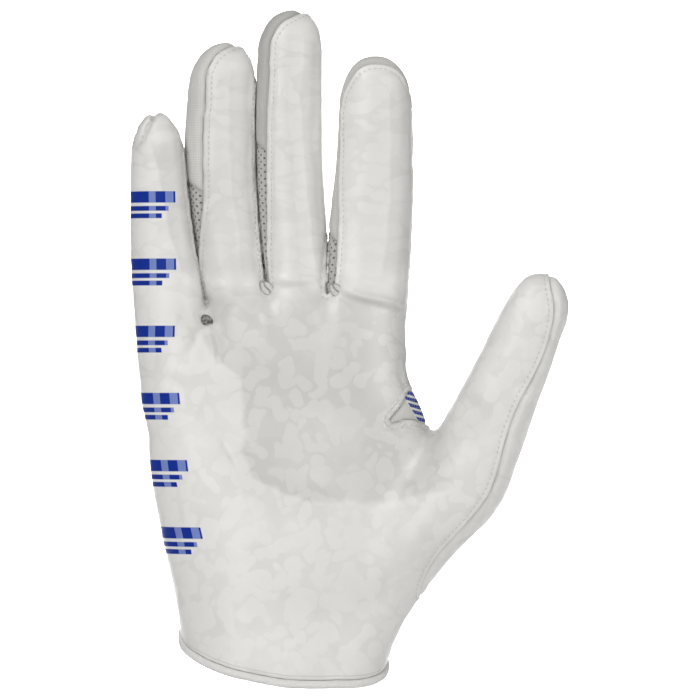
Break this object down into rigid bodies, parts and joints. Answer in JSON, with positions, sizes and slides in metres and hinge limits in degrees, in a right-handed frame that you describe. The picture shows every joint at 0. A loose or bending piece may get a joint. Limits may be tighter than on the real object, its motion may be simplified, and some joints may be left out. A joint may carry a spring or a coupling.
{
  "type": "football receiver glove",
  "caption": "Right-hand football receiver glove held in its worn form: tacky printed palm, knit back, perforated finger sides, elastic wrist binding and open hand cavity.",
  "frame": {"origin": "centre of the wrist opening, where the hand goes in", "axes": "+Z from the wrist to the fingertips, -Y out of the palm's face, +X towards the thumb"},
  "size_m": [0.1538, 0.0469, 0.2364],
  "materials": {
    "palm_film": "tacky translucent film, satin to gloss, with a mottled print",
    "back_knit": "matte warp knit",
    "perforated_knit": "matte, with small staggered holes",
    "elastic_tape": "matte folded elastic tape"
  },
  "bodies": {
    "root": {"palm_panel": "palm_film", "back_panel": "back_knit", "fourchette_pinky_ring": "perforated_knit", "fourchette_ring_middle": "perforated_knit", "fourchette_middle_index": "perforated_knit", "thumb_gusset": "perforated_knit", "thumb_side_strip": "palm_film", "cuff_binding": "elastic_tape"}
  },
  "joints": []
}
